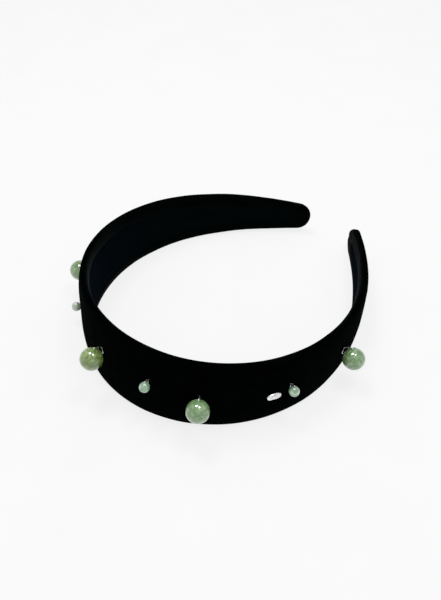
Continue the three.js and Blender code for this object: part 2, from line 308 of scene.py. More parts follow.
def tube(name, points, radius, sides=12, plies=0, pitch=1.0):
    """A round wire through points, or a twisted cord if plies is 2 or more and pitch is its lay."""
    points = np.asarray(points, float)
    tangents = unit(np.gradient(points, axis=0))
    side = unit(np.cross(tangents[0], least_aligned(tangents[0])))
    travelled = 0.0
    angles = np.linspace(0, 2 * math.pi, sides, endpoint=False)
    rings = []
    for i, (point, tangent) in enumerate(zip(points, tangents)):
        side = unit(side - tangent * np.dot(side, tangent))
        up = np.cross(tangent, side)
        if i:
            travelled += np.linalg.norm(point - points[i - 1])
        groove = CORD_GROOVE * np.cos(plies * (angles + 2 * math.pi * travelled / pitch))
        reach = radius * (1 + groove) if plies else np.full(sides, radius)
        rings.append(point + np.outer(reach * np.cos(angles), side) + np.outer(reach * np.sin(angles), up))
    return loft(name, np.array(rings), fan_cap(sides), smooth_angle=50)


def unit(vectors):
    return vectors / np.linalg.norm(vectors, axis=-1, keepdims=True)


def least_aligned(direction):
    """The row axis that is furthest from a direction."""
    return np.eye(3)[np.argmin(np.abs(direction))]


def resample(path, count):
    """The same path with `count` points at even distances, and the distance of each from the first."""
    steps = np.linalg.norm(np.diff(path, axis=0), axis=1)
    travelled = np.concatenate([[0], np.cumsum(steps)])
    even = np.linspace(0, travelled[-1], count)
    return np.stack([np.interp(even, travelled, column) for column in path.T], -1), even


# ---- The band's own shape ----

def joint(name):
    return next(j for j in frame["joints"] if j["name"] == name)


def half_length(s):
    """The length of the half of the band that s lies on."""
    return RIGHT_LENGTH if s > 0 else LEFT_LENGTH


def to_tip(s):
    """How far s is from the tip of its own half, for one distance or an array of them."""
    return np.where(np.asarray(s) > 0, RIGHT_LENGTH, LEFT_LENGTH) - np.abs(s)


def centreline(side):
    """Distances along a half of the band, with the turn and the place there in the band's own plane."""
    share = RIGHT_UNBEND_SHARE if side > 0 else LEFT_UNBEND_SHARE
    s = np.linspace(0, half_length(side), CENTRELINE_POINTS)
    u = s / s[-1]
    turn = s / CROWN_RADIUS * (1 - share * u**2 / 3 - (1 - share) * u**4 / 5)
    middle = (turn[1:] + turn[:-1]) / 2
    step = s[1]
    x = np.concatenate([[0], np.cumsum(np.cos(middle) * step)])
    y = np.concatenate([[0], np.cumsum(np.sin(middle) * step)])
    return s, turn, x, y


def flat_frame(s):
    """The band in its own plane at the distances s: turn, x and y, the first two mirrored on the left."""
    flat = np.zeros((3, len(s)))
    for side in (-1, 1):
        table_s, *table = centreline(side)
        here = s * side >= 0
        flat[:, here] = [np.interp(np.abs(s[here]), table_s, column) for column in table]
        flat[:2, here] *= side
    return flat


def band_placement():
    """Rotation and shift from the band's own plane to the row frame, from the right arm's flex joint."""
    flex = joint("right_arm_flex")
    across = unit(np.array(flex["axis"], float))
    across *= np.sign(across[2])
    rightward = np.array([1.0, 0.0, 0.0])
    rotation = np.stack([rightward, np.cross(across, rightward), across], -1)
    turn, x, y = flat_frame(np.array([HINGE_AT]))
    out = BAND_THICKNESS / 2 + HINGE_STANDOFF
    hinge = np.array([x[0] + out * math.sin(turn[0]), y[0] - out * math.cos(turn[0]), 0.0])
    return rotation, np.array(flex["pos_m"]) - rotation @ hinge


def band_frame(s):
    """Origin, outward, along and across directions of the band in the row frame, at the distances s."""
    rotation, shift = band_placement()
    turn, x, y = flat_frame(s)
    zero = np.zeros_like(turn)
    origin = np.stack([x, y, zero], -1) @ rotation.T + shift
    outward = np.stack([np.sin(turn), -np.cos(turn), zero], -1) @ rotation.T
    along = np.stack([np.cos(turn), np.sin(turn), zero], -1) @ rotation.T
    return origin, outward, along, rotation[:, 2]


def half_width(s):
    u = min(abs(s) / half_length(s), 1.0)
    return (TIP_WIDTH + (CROWN_WIDTH - TIP_WIDTH) * (1 - u**TAPER_START) ** TAPER_END) / 2


def rounding(left, reach):
    """What is left of a half size where a round end closes over its last `reach`."""
    share = min(max(left / reach, SMALLEST_SHARE), 1.0)
    return math.sqrt(1 - (1 - share) ** 2)


def distances(end):
    """Distances from the crown's middle to an end, closer together towards the tip."""
    body = np.arange(0, end - TIP_STRETCH, STATION_STEP)
    tip_count = round((end - body[-1]) / TIP_STATION_STEP)
    tip = end - (end - body[-1]) * (1 - np.linspace(0, 1, tip_count + 1)) ** TIP_CROWDING
    return np.concatenate([body[:-1], tip])


def superellipse(half_depth, half_across, exponent, angles):
    power = 2 / exponent
    cosine, sine = np.cos(angles), np.sin(angles)
    depth = half_depth * np.sign(cosine) * np.abs(cosine) ** power
    across = half_across * np.sign(sine) * np.abs(sine) ** power
    return np.stack([depth, across], -1)


def skin_path(s):
    """The velvet's outer face at s, as depth and across, from lip to lip round the dome.

    The distance of each point round the section, from its middle, comes with it.
    """
    left = float(to_tip(s))
    depth = BAND_THICKNESS / 2 * rounding(left, BAND_THICKNESS / 2)
    width = half_width(s) * rounding(left, TIP_WIDTH / 2)
    slot = slot_half_width(s)
    lip_angle = math.pi - math.asin(min(slot / width, 1.0) ** (FLAT_EXPONENT / 2))
    dome = superellipse(depth, width, DOME_EXPONENT, np.linspace(0, math.pi / 2, DOME_SAMPLES))
    flat_angles = np.linspace(math.pi / 2, lip_angle, FLAT_SAMPLES)
    flat = superellipse(depth, width, FLAT_EXPONENT, flat_angles)[1:]
    upper = np.concatenate([dome, flat])
    lower = upper[:0:-1] * [1, -1]
    path, girth = resample(np.concatenate([lower, upper]), SKIN_POINTS)
    from_lip = np.minimum(girth, girth[-1] - girth)
    roll = np.clip(1 - from_lip / LIP_REACH, 0, 1) ** 2
    openness = min(slot / (TIP_WIDTH / 4), 1.0)
    roll *= LIP_ROLL_AT_TIP + (1 - LIP_ROLL_AT_TIP) * openness
    path[:, 0] += LIP_ROLL * roll * depth / (BAND_THICKNESS / 2)
    return path, girth - girth[-1] / 2


def slot_half_width(s):
    """Half the width of the opening in the velvet's inner face, where the lining shows."""
    left = float(to_tip(s)) - LINING_END
    if left <= 0:
        return 0.0
    full = half_width(s) - EDGE_TURN
    at_end = half_width(math.copysign(half_length(s) - LINING_END, s)) - EDGE_TURN
    return full * rounding(left, at_end)


def on_band(s, paths):
    """Section paths of shape (stations, points, 2), depth and across, moved onto the band."""
    origin, outward, _, across = band_frame(s)
    depth, height = paths[..., 0], paths[..., 1]
    return origin[:, None] + depth[..., None] * outward[:, None] + height[..., None] * across


# ---- The soft layers ----

def grid_normals(grid):
    """Outward unit normals of a skin given as a grid of points."""
    along = np.gradient(grid, axis=0)
    around = np.gradient(grid, axis=1)
    normals = np.cross(around, along)
    length = np.linalg.norm(normals, axis=-1, keepdims=True)
    return normals / np.maximum(length, 1e-12)


def soft_waves(grid):
    """Small waves that cloth stretched over foam has, as a height for each point."""
    heights = [noise.noise(Vector(p) / WAVE_LENGTH) for p in grid.reshape(-1, 3)]
    return WAVE_HEIGHT * np.array(heights).reshape(grid.shape[:2])


def stitch_dimples(grid, tacks):
    """How deep the thread loops pull the velvet in, as a height for each point."""
    depth = np.zeros(grid.shape[:2])
    for tack in tacks:
        distance = np.linalg.norm(grid - tack, axis=-1)
        depth -= DIMPLE_DEPTH * np.exp(-((distance / DIMPLE_RADIUS) ** 2))
    return depth


def tip_gathers(s, girths):
    """Folds where the velvet is drawn together over the tip, as a height for each point."""
    left = to_tip(s)
    fade = np.exp(-left / GATHER_REACH) * np.clip(left / GATHER_STARTS, 0, 1)
    share = girths / np.abs(girths).max(axis=1, keepdims=True)
    inner_side = np.clip(np.abs(share) * 1.6 - 0.5, 0, 1)
    return GATHER_DEPTH * fade[:, None] * np.cos(GATHER_FOLDS * math.pi * share) * inner_side


def settle(points):
    """Presses what lies below the resting surface flat against it, with a soft shoulder."""
    height = points[..., 2]
    points[..., 2] = (height + np.sqrt(height**2 + REST_SOFTNESS**2)) / 2
    return points


def tip_bunch(grid, s, paths):
    """The bunch of drawn-together velvet that stands out past the tip."""
    along = band_frame(s)[2] * np.sign(s[-1])
    left = to_tip(s)
    near = np.clip(1 - left / BUNCH_REACH, 0, 1) ** 2
    lump = np.exp(-(((paths[..., 1] - BUNCH_HEIGHT) / BUNCH_HALF) ** 4))
    reach = BUNCH_LENGTH * near[:, None] * lump
    return grid + reach[..., None] * along[:, None]


def simulate_velvet(grid, tacks):
    """Lets the skin settle as cloth under the foam's pressure, held at its lips, ends and stitches."""
    rows, columns = grid.shape[:2]
    held = np.zeros((rows, columns), bool)
    held[:, :SIM_HELD_COLUMNS] = True
    held[:, -SIM_HELD_COLUMNS:] = True
    held[:2] = True
    held[-SIM_HELD_TIP_ROWS:] = True
    for tack in tacks:
        held |= np.linalg.norm(grid - tack, axis=-1) < SIM_TACK_RADIUS
    sheet = mesh_piece("velvet_sheet", grid.reshape(-1, 3) * SIM_SCALE, skin_faces(rows, columns))
    group = sheet.vertex_groups.new(name="held")
    group.add([int(i) for i in np.flatnonzero(held)], 1.0, "REPLACE")
    cloth = sheet.modifiers.new("cloth", "CLOTH")
    settings = cloth.settings
    for name, value in SIM_CLOTH.items():
        setattr(settings, name, value)
    settings.vertex_group_mass = group.name
    settings.shrink_min = -SIM_SLACK
    settings.use_pressure = True
    settings.uniform_pressure_force = SIM_PRESSURE
    settings.effector_weights.gravity = 0
    cloth.collision_settings.use_collision = False
    cloth.point_cache.frame_end = SIM_FRAMES
    for number in range(1, SIM_FRAMES + 1):
        bpy.context.scene.frame_set(number)
    evaluated = sheet.evaluated_get(bpy.context.evaluated_depsgraph_get())
    settled = np.array([v.co for v in evaluated.data.vertices]) / SIM_SCALE
    bpy.data.objects.remove(sheet)
    bpy.context.scene.frame_set(1)
    moved = settled.reshape(grid.shape) - grid
    far = np.linalg.norm(moved, axis=-1, keepdims=True)
    return grid + moved * np.minimum(1, SIM_CAP / np.maximum(far, 1e-12))


def skin_faces(rows, columns):
    faces = []
    for i in range(rows - 1):
        for j in range(columns - 1):
            a = i * columns + j
            faces.append((a, a + 1, a + columns + 1, a + columns))
    return faces


def outward_normals(grid, s):
    """Unit normals of a skin, on the side that faces out of the band along its middle line."""
    normals = grid_normals(grid)
    middle = grid.shape[1] // 2
    facing = np.sum(normals[:, middle] * band_frame(s)[1], -1)
    return normals * np.sign(np.mean(facing))


def skin_sections(side):
    """Distances along one half of the band, with the velvet's section and its girths at each."""
    s = side * distances(half_length(side))
    sections = [skin_path(place) for place in s]
    paths = np.array([path for path, _ in sections])
    girths = np.array([girth for _, girth in sections])
    return s, paths, girths


def velvet_cover(side, tacks):
    """Half of the velvet cover: a skin that wraps the edges and turns in beside the lining."""
    s, paths, girths = skin_sections(side)
    outer = on_band(s, paths)
    height = soft_waves(outer) + stitch_dimples(outer, tacks) + tip_gathers(s, girths)
    outer = outer + height[..., None] * outward_normals(outer, s)
    outer = simulate_velvet(outer if side > 0 else outer[:, ::-1], tacks)
    outer = outer if side > 0 else outer[:, ::-1]
    if side > 0:
        outer = tip_bunch(outer, s, paths)
    thickness = VELVET * np.array([rounding(left, TIP_WIDTH) for left in to_tip(s)]) ** 2
    inner = outer - thickness[:, None, None] * outward_normals(outer, s)
    rings = np.concatenate([settle(outer), settle(inner)[:, ::-1]], axis=1)
    piece = loft(f"velvet_{side_name(side)}_half", rings, strip_caps(2 * SKIN_POINTS), smooth_angle=60)
    widest = girths[0]
    add_uv(piece, np.concatenate([widest, widest[::-1]]), s, 2 * SKIN_POINTS)
    return piece


def paint_sheen_on_edges(cover, side):
    """Gives the cover's second material, the velvet painted lighter and sheenier as painted sheen, to the
    cloth that is drawn round the edges and turned in.
    """
    s, _, girths = skin_sections(side)
    edge = np.array([half_width(r) for r in s]) + PAINTED_SHEEN_PAST_EDGE
    painted_sheen = np.abs(girths) > edge[:, None]
    painted_sheen = np.concatenate([painted_sheen, painted_sheen[:, ::-1]], axis=1)
    for face in cover.data.polygons:
        station, point = divmod(min(face.vertices), 2 * SKIN_POINTS)
        face.material_index = int(painted_sheen[station, point])


def side_name(side):
    return "right" if side > 0 else "left"


def lining_path(s, count=14):
    """The lining's section at s: a thin strip, a little fuller along its middle."""
    last = half_length(s) - LINING_END - LINING_SHORT
    width = slot_half_width(math.copysign(min(abs(s), last), s)) + LINING_TUCK
    across = np.linspace(-1, 1, count)
    crown = LINING_CROWN * (1 - across**2)
    floor = LINING_FLOOR - BAND_THICKNESS / 2
    shown = np.stack([floor - crown + LINING_EDGE_RISE * across**8, across * width], -1)
    hidden = np.stack([floor + LINING_THICKNESS - crown, across * width], -1)
    return np.concatenate([shown, hidden[::-1]])


def lining_strip(side):
    s = side * distances(half_length(side) - LINING_END)
    paths = np.array([lining_path(place) for place in s])
    rings = on_band(s, paths)
    size = paths.shape[1]
    piece = loft(f"lining_{side_name(side)}_half", rings, strip_caps(size))
    add_uv(piece, paths[0][:, 1], s, size)
    return piece


def foam_path(s, count=24):
    """The foam's section at s: a dome with a flat floor on the spring core."""
    width = half_width(s) - FOAM_INSET
    depth = BAND_THICKNESS / 2 - FOAM_INSET
    dome = superellipse(depth, width, DOME_EXPONENT, np.linspace(-math.pi / 2, math.pi / 2, count))
    floor = np.stack([np.full(count, FOAM_FLOOR), dome[:, 1]], -1)
    return np.concatenate([dome, floor[::-1]])


def foam_pad(side):
    s = side * distances(half_length(side) - LINING_END)
    paths = np.array([foam_path(place) for place in s])
    rings = on_band(s, paths)
    size = paths.shape[1]
    piece = loft(f"foam_{side_name(side)}_half", rings, strip_caps(size), smooth_angle=60)
    add_uv(piece, paths[0][:, 1], s, size)
    return piece


def across_flex(piece, side):
    """Bakes a layer's placement into its mesh. The ends of the stretch where its arm flexes are worked out
    but not used.
    """
    ends = np.array([HINGE_AT - BEND_REACH, HINGE_AT + BEND_REACH]) * side
    start, end = band_frame(ends)[0]
    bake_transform(piece)


# ---- Beads, bails and thread loops ----

def dangle(n):
    """Where a bead, its hole and its thread loop are, from the two joints that it hangs by."""
    swing = joint(f"bail_{n}_swing")
    side_swing = joint(f"bead_{n}_side_swing")
    low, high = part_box(f"bead_{n}")
    radius = max(high - low) / 2
    kind = LARGE if radius > LARGE_RADIUS_FROM else SMALL
    bar = np.array(swing["pos_m"])
    hole = np.array(side_swing["pos_m"])
    to_loop = unit(bar - hole)
    return {
        **kind,
        "n": n,
        "radius": radius,
        "bar": bar,
        "body": swing["parent"],
        "to_loop": to_loop,
        "along_hole": unit(np.array(side_swing["axis"], float)),
        "along_band": unit(np.array(swing["axis"], float)),
        "centre": hole - kind["hole_distance"] * to_loop,
        "bar_distance": np.linalg.norm(bar - hole) + kind["hole_distance"],
    }


def outward_of(d):
    """The direction straight out of the velvet at a dangle's thread loop."""
    flex_axis = unit(np.array(joint("right_arm_flex")["axis"], float))
    outward = unit(np.cross(d["along_band"], flex_axis))
    return outward * np.sign(np.dot(outward, d["centre"] - d["bar"]))


def loop_height(d):
    """How far a thread loop's bar stands above the feet of the CAD loop."""
    outward = outward_of(d)
    node = frame["nodes"][f"thread_loop_{d['n']}"]
    lowest = min(np.dot(np.array(v.co) - d["bar"], outward) for v in node.data.vertices)
    return -lowest


def around_pegs(pegs, steps=10):
    """A wire loop pulled tight round pegs, each a flat centre and a radius, listed anticlockwise."""
    count = len(pegs)
    leaving = []
    for i, (centre, radius) in enumerate(pegs):
        next_centre, next_radius = pegs[(i + 1) % count]
        reach = next_centre - centre
        towards_next = math.atan2(reach[1], reach[0])
        leaving.append(towards_next - math.acos((radius - next_radius) / np.linalg.norm(reach)))
    points = []
    for i, (centre, radius) in enumerate(pegs):
        start = leaving[i - 1]
        swing = (leaving[i] - start) % (2 * math.pi)
        for k in range(steps + 1):
            angle = start + swing * k / steps
            points.append(centre + radius * np.array([math.cos(angle), math.sin(angle)]))
    return np.array(points)


def wire_bail(d):
    """A triangle of silver wire, open by a slit where its ends meet."""
    corner = d["hole_distance"] + d["corner_bend"]
    pegs = [
        (np.array([0.0, d["bar_distance"]]), d["loop_bend"]),
        (np.array([-d["leg_half"], corner]), d["corner_bend"]),
        (np.array([d["leg_half"], corner]), d["corner_bend"]),
    ]
    path = around_pegs(pegs)
    first, last = path[0], path[-1]
    middle = (first + last) / 2
    half_slit = unit(first - last) * BAIL_SLIT / 2
    flat = np.concatenate([[middle + half_slit], path, [middle - half_slit]])
    points = d["centre"] + np.outer(flat[:, 0], d["along_hole"]) + np.outer(flat[:, 1], d["to_loop"])
    return tube(f"bail_wire_{d['n']}", points, d["wire"])


def smooth_path(corners, cut, steps=8):
    """A path through corners, each replaced by a bend that starts and ends `cut` away from it."""
    points = [corners[0]]
    for before, corner, after in zip(corners, corners[1:], corners[2:]):
        start = corner + unit(before - corner) * cut
        end = corner + unit(after - corner) * cut
        for t in np.linspace(0, 1, steps):
            points.append((1 - t) ** 2 * start + 2 * t * (1 - t) * corner + t**2 * end)
    points.append(corners[-1])
    return resample(np.array(points), THREAD_POINTS)[0]


def thread_loop(d, depth):
    """A staple of twisted thread that comes out of the velvet, through the bail and back in."""
    outward = outward_of(d)
    tops = [d["bar"] + end * d["bar_half"] * d["along_band"] for end in (-1, 1)]
    feet = [top - outward * depth for top in tops]
    points = smooth_path([feet[0], tops[0], tops[1], feet[1]], cut=2 * d["thread"])
    return tube(f"thread_{d['n']}", points, d["thread"], sides=14, plies=2, pitch=THREAD_LAY)


def stone_surface(direction):
    """How far a tumbled stone bead stands off its true sphere, as a share of its radius."""
    broad = noise.noise(direction * 1.3)
    fine = noise.noise(direction * 4.5)
    return BEAD_UNEVENNESS * broad + BEAD_POLISH_WAVES * fine


def jade_bead(d):
    """A polished stone bead with a countersunk hole drilled across its shoulder."""
    piece = mesh_piece(f"jade_bead_{d['n']}", *ball(d), smooth_angle=180)
    drill = mesh_piece("drill", *drill_body(d), smooth_angle=30)
    cut = piece.modifiers.new("drill", "BOOLEAN")
    cut.operation = "DIFFERENCE"
    cut.solver = "EXACT"
    cut.object = drill
    evaluated = piece.evaluated_get(bpy.context.evaluated_depsgraph_get())
    drilled = bpy.data.meshes.new_from_object(evaluated)
    piece.modifiers.clear()
    piece.data = drilled
    piece.data.set_sharp_from_angle(angle=math.radians(BEAD_SHARP_ANGLE))
    bpy.data.objects.remove(drill)
    return piece


def ball(d, columns=64, rows=40):
    """Points and faces of a bead before drilling, its poles at the ends of the band direction."""
    axis = d["along_band"]
    side = d["along_hole"]
    other = np.cross(axis, side)
    seed = Vector((d["n"] * 3.7, 0.0, 0.0))
    points = []
    for i in range(1, rows):
        polar = math.pi * i / rows
        for j in range(columns):
            turn = 2 * math.pi * j / columns
            level = math.cos(turn) * side + math.sin(turn) * other
            points.append(math.cos(polar) * axis + math.sin(polar) * level)
    points += [axis, -axis]
    placed = []
    for ray in points:
        grown = d["radius"] * (1 + stone_surface(Vector(ray) + seed))
        placed.append(d["centre"] + ray * grown)
    faces = []
    for i in range(rows - 2):
        for j in range(columns):
            a = i * columns + j
            b = i * columns + (j + 1) % columns
            faces.append((a, a + columns, b + columns, b))
    top, bottom = len(points) - 2, len(points) - 1
    last = (rows - 2) * columns
    for j in range(columns):
        following = (j + 1) % columns
        faces.append((top, j, following))
        faces.append((bottom, last + following, last + j))
    return placed, faces


def drill_body(d, sides=24):
    """Points and faces of the drill: a rod along the hole that flares where it leaves the stone."""
    middle = d["centre"] + d["hole_distance"] * d["to_loop"]
    chord = math.sqrt(d["radius"] ** 2 - d["hole_distance"] ** 2)
    flare = 0.5 * d["hole"]
    clear_of_stone = 1.6 * chord
    mouth = d["hole"] + 3 * flare
    profile = [
        (-clear_of_stone, mouth),
        (-chord + flare, d["hole"]),
        (chord - flare, d["hole"]),
        (clear_of_stone, mouth),
    ]
    across = np.cross(d["along_hole"], d["to_loop"])
    points = []
    for place, reach in profile:
        for k in range(sides):
            angle = 2 * math.pi * k / sides
            rim = math.cos(angle) * d["to_loop"] + math.sin(angle) * across
            points.append(middle + place * d["along_hole"] + reach * rim)
    faces = [tuple(range(sides)), tuple(reversed(range(3 * sides, 4 * sides)))]
    for i in range(3):
        for k in range(sides):
            a = i * sides + k
            b = i * sides + (k + 1) % sides
            faces.append((a, a + sides, b + sides, b))
    return points, faces


def stadium(half_length, half_width, count=64):
    """The outline of an oblong with round ends, its points spread evenly by angle."""
    angles = (np.arange(count) + 0.5) * 2 * math.pi / count
    outline = half_width * np.stack([np.cos(angles), np.sin(angles)], -1)
    outline[:, 0] += np.sign(outline[:, 0]) * (half_length - half_width)
    return outline


def metal_tag():
    """A plain oblong plate with round ends, a raised rim and a sunk face."""
    node = frame["nodes"]["metal_tag"]
    points = np.array([v.co for v in node.data.vertices])
    centre = (points.min(0) + points.max(0)) / 2
    axes = np.linalg.svd(points - points.mean(0), full_matrices=False)[2]
    length, width, thickness = [np.ptp((points - centre) @ axis) for axis in axes]
    outward = axes[2] * np.sign(np.dot(axes[2], centre - np.array(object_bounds()).mean(0)))
    rings = []
    for level, share in TAG_LEVELS:
        inset = (1 - share) * width / 2
        rim = stadium(length / 2 - inset, width / 2 - inset)
        middle = centre + (level - 0.5) * thickness * outward
        rings.append(middle + np.outer(rim[:, 0], axes[0]) + np.outer(rim[:, 1], axes[1]))
    return loft("tag_plate", np.array(rings), fan_cap(len(rim)), smooth_angle=50)


# ---- Materials ----

def new_material(name):
    """An empty node material with its tree and its Principled shader."""
    made = bpy.data.materials.new(name)
    made.use_nodes = True
    return made, made.node_tree, made.node_tree.nodes["Principled BSDF"]


def set_inputs(node, **values):
    """Sets sockets by name, with spaces written as underscores."""
    for key, value in values.items():
        node.inputs[key.replace("_", " ")].default_value = value


def link(tree, source, output, target, socket):
    tree.links.new(source.outputs[output], target.inputs[socket])


def add_noise(tree, coordinates, output, scale, detail=3.0, roughness=0.5):
    node = tree.nodes.new("ShaderNodeTexNoise")
    set_inputs(node, Scale=scale, Detail=detail, Roughness=roughness)
    link(tree, coordinates, output, node, "Vector")
    return node


def add_ramp(tree, source, output, stops):
    """A colour ramp driven by a node. stops are (position, linear colour)."""
    node = tree.nodes.new("ShaderNodeValToRGB")
    elements = node.color_ramp.elements
    while len(elements) < len(stops):
        elements.new(0.5)
    for element, (position, colour) in zip(elements, stops):
        element.position = position
        element.color = (*colour, 1.0)
    link(tree, source, output, node, "Fac")
    return node


def add_product(tree, first, second):
    """Multiplies two colours."""
    node = tree.nodes.new("ShaderNodeMix")
    node.data_type = "RGBA"
    node.blend_type = "MULTIPLY"
    node.inputs["Factor"].default_value = 1.0
    tree.links.new(first.outputs["Color"], node.inputs["A"])
    tree.links.new(second.outputs["Color"], node.inputs["B"])
    return node


def add_bump(tree, source, output, shader, strength, distance, below=None):
    node = tree.nodes.new("ShaderNodeBump")
    set_inputs(node, Strength=strength, Distance=distance)
    link(tree, source, output, node, "Height")
    if below:
        link(tree, below, "Normal", node, "Normal")
    link(tree, node, "Normal", shader, "Normal")
    return node


def add_mapping(tree, source, output, scale):
    node = tree.nodes.new("ShaderNodeMapping")
    node.inputs["Scale"].default_value = scale
    link(tree, source, output, node, "Vector")
    return node


def velvet_material(name, sheen, dark, light):
    """Black velvet: almost no colour of its own, and pile that lies in soft patches."""
    made, tree, shader = new_material(name)
    set_inputs(shader, Roughness=1.0, Sheen_Weight=sheen, Sheen_Roughness=0.3)
    shader.inputs["Specular IOR Level"].default_value = 0.0
    shader.inputs["Sheen Tint"].default_value = (0.75, 0.78, 0.85, 1)
    cloth = tree.nodes.new("ShaderNodeTexCoord")
    stretched = add_mapping(tree, cloth, "UV", (60.0, 140.0, 1.0))
    patches = add_noise(tree, stretched, "Vector", 1.0, detail=4)
    colour = add_ramp(tree, patches, "Fac", [(0.35, dark), (0.7, light)])
    link(tree, colour, "Color", shader, "Base Color")
    pile = add_noise(tree, cloth, "UV", 3800.0, detail=2)
    tufts = add_noise(tree, cloth, "UV", 1300.0, detail=3, roughness=0.7)
    coarse = add_bump(tree, patches, "Fac", shader, 0.25, 0.0006)
    medium = add_bump(tree, tufts, "Fac", shader, 0.5, 0.0004, below=coarse)
    add_bump(tree, pile, "Fac", shader, 0.6, 0.0002, below=medium)
    return made


def lining_material():
    """Smooth navy-black ribbon with a fine rib across it."""
    made, tree, shader = new_material("ribbon_lining")
    set_inputs(shader, Roughness=0.7, Sheen_Weight=0.012, Sheen_Roughness=0.4)
    shader.inputs["Sheen Tint"].default_value = (0.4, 0.5, 1.0, 1)
    shader.inputs["Specular IOR Level"].default_value = 0.0
    cloth = tree.nodes.new("ShaderNodeTexCoord")
    ribs = tree.nodes.new("ShaderNodeTexWave")
    set_inputs(ribs, Scale=700.0, Distortion=0.6, Detail=2.0)
    link(tree, cloth, "UV", ribs, "Vector")
    shade = add_noise(tree, cloth, "UV", 90.0, detail=3)
    navy = [(0.3, (0.0006, 0.0017, 0.0018)), (0.75, (0.0011, 0.0026, 0.0030))]
    colour = add_ramp(tree, shade, "Fac", navy)
    link(tree, colour, "Color", shader, "Base Color")
    add_bump(tree, ribs, "Fac", shader, 0.35, 0.00012)
    return made


def foam_material():
    """Open-cell foam, cream with small dark pores."""
    made, tree, shader = new_material("open_cell_foam")
    set_inputs(shader, Roughness=0.95)
    place = tree.nodes.new("ShaderNodeTexCoord")
    cells = tree.nodes.new("ShaderNodeTexVoronoi")
    set_inputs(cells, Scale=1800.0)
    link(tree, place, "Object", cells, "Vector")
    colour = add_ramp(tree, cells, "Distance", [(0.05, (0.35, 0.32, 0.25)), (0.5, (0.72, 0.68, 0.56))])
    link(tree, colour, "Color", shader, "Base Color")
    add_bump(tree, cells, "Distance", shader, 0.5, 0.0003)
    return made


def core_material():
    """Dark moulded plastic strip with faint flow marks."""
    made, tree, shader = new_material("spring_plastic")
    place = tree.nodes.new("ShaderNodeTexCoord")
    flow = add_noise(tree, place, "Object", 220.0, detail=4)
    colour = add_ramp(tree, flow, "Fac", [(0.3, (0.008, 0.008, 0.009)), (0.7, (0.016, 0.016, 0.018))])
    rough = add_ramp(tree, flow, "Fac", [(0.3, (0.38,) * 3), (0.7, (0.5,) * 3)])
    link(tree, colour, "Color", shader, "Base Color")
    link(tree, rough, "Color", shader, "Roughness")
    add_bump(tree, flow, "Fac", shader, 0.1, 0.0002)
    return made


def jade_material(cast):
    """Polished translucent jade: milky stone with swirled clouds, a few dark specks and a glassy skin."""
    made, tree, shader = new_material(f"jade_{cast}")
    set_inputs(shader, Coat_Weight=1.0, Coat_Roughness=0.03, Subsurface_Weight=0.5, Subsurface_Scale=0.0016)
    shader.inputs["Coat IOR"].default_value = 1.66
    shader.inputs["Subsurface Radius"].default_value = (0.6, 1.0, 0.5)
    place = tree.nodes.new("ShaderNodeTexCoord")
    clouds = add_noise(tree, place, "Object", 230.0, detail=5, roughness=0.6)
    clouds.inputs["Distortion"].default_value = 1.6
    body = add_ramp(tree, clouds, "Fac", list(zip((0.28, 0.5, 0.7), JADE_CASTS[cast])))
    specks = add_noise(tree, place, "Object", 900.0, detail=3, roughness=0.7)
    dark = add_ramp(tree, specks, "Fac", [(0.30, (0.6, 0.62, 0.42)), (0.46, (1.0, 1.0, 1.0))])
    stone = add_product(tree, body, dark)
    tree.links.new(stone.outputs["Result"], shader.inputs["Base Color"])
    rough = add_ramp(tree, specks, "Fac", [(0.3, (0.22,) * 3), (0.6, (0.12,) * 3)])
    link(tree, rough, "Color", shader, "Roughness")
    add_bump(tree, specks, "Fac", shader, 0.04, 0.0001)
    return made


def silver_material(name, roughness):
    """Worn silver: bright metal with fine scratches and a little tarnish in patches."""
    made, tree, shader = new_material(name)
    set_inputs(shader, Metallic=1.0)
    place = tree.nodes.new("ShaderNodeTexCoord")
    tarnish = add_noise(tree, place, "Object", 400.0, detail=4)
    colour = add_ramp(tree, tarnish, "Fac", [(0.3, (0.62, 0.61, 0.59)), (0.6, (0.92, 0.92, 0.93))])
    link(tree, colour, "Color", shader, "Base Color")
    rough = add_ramp(tree, tarnish, "Fac", [(0.3, (roughness + 0.15,) * 3), (0.7, (roughness,) * 3)])
    link(tree, rough, "Color", shader, "Roughness")
    scratches = add_noise(tree, place, "Object", 5000.0, detail=2)
    add_bump(tree, scratches, "Fac", shader, 0.15, 0.00003)
    return made


def thread_material():
    """Waxed black sewing thread."""
    made, tree, shader = new_material("sewing_thread")
    set_inputs(shader, Roughness=0.9)
    shader.inputs["Specular IOR Level"].default_value = 0.05
    place = tree.nodes.new("ShaderNodeTexCoord")
    fibres = add_noise(tree, place, "Object", 9000.0, detail=2)
    black = [(0.3, (0.0008, 0.0008, 0.0009)), (0.7, (0.0025, 0.0025, 0.003))]
    colour = add_ramp(tree, fibres, "Fac", black)
    link(tree, colour, "Color", shader, "Base Color")
    add_bump(tree, fibres, "Fac", shader, 0.4, 0.00005)
    return made


def paint(piece, *materials):
    piece.data.materials.clear()
    for material in materials:
        piece.data.materials.append(material)


# ---- Assembly ----

def build_band(tacks):
    velvet = velvet_material("velvet_pile", **FACE_PILE)
    # The second velvet is the first made lighter and sheenier: painted sheen on the rolled edges.
    painted_sheen = velvet_material("velvet_painted_sheen", **PAINTED_SHEEN_PILE)
    lining = lining_material()
    foam = foam_material()
    for side in (-1, 1):
        arm = f"{side_name(side)}_arm"
        cover = velvet_cover(side, tacks)
        strip = lining_strip(side)
        pad = foam_pad(side)
        layers = [
            (cover, [velvet, painted_sheen], "velvet", "velvet_cover"),
            (strip, [lining], "lining", "lining"),
            (pad, [foam], "foam", "foam_pad"),
        ]
        for piece, looks, slot, node in layers:
            paint(piece, *looks)
            across_flex(piece, side)
            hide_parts(f"{node}_crown", f"{node}_{arm}")
        paint_sheen_on_edges(cover, side)


def bead_cast(d):
    if d["n"] in OLIVE_BEADS:
        return "olive"
    if d["n"] in MILKY_BEADS:
        return "milky"
    return "green" if d["radius"] > LARGE_RADIUS_FROM else "pale"


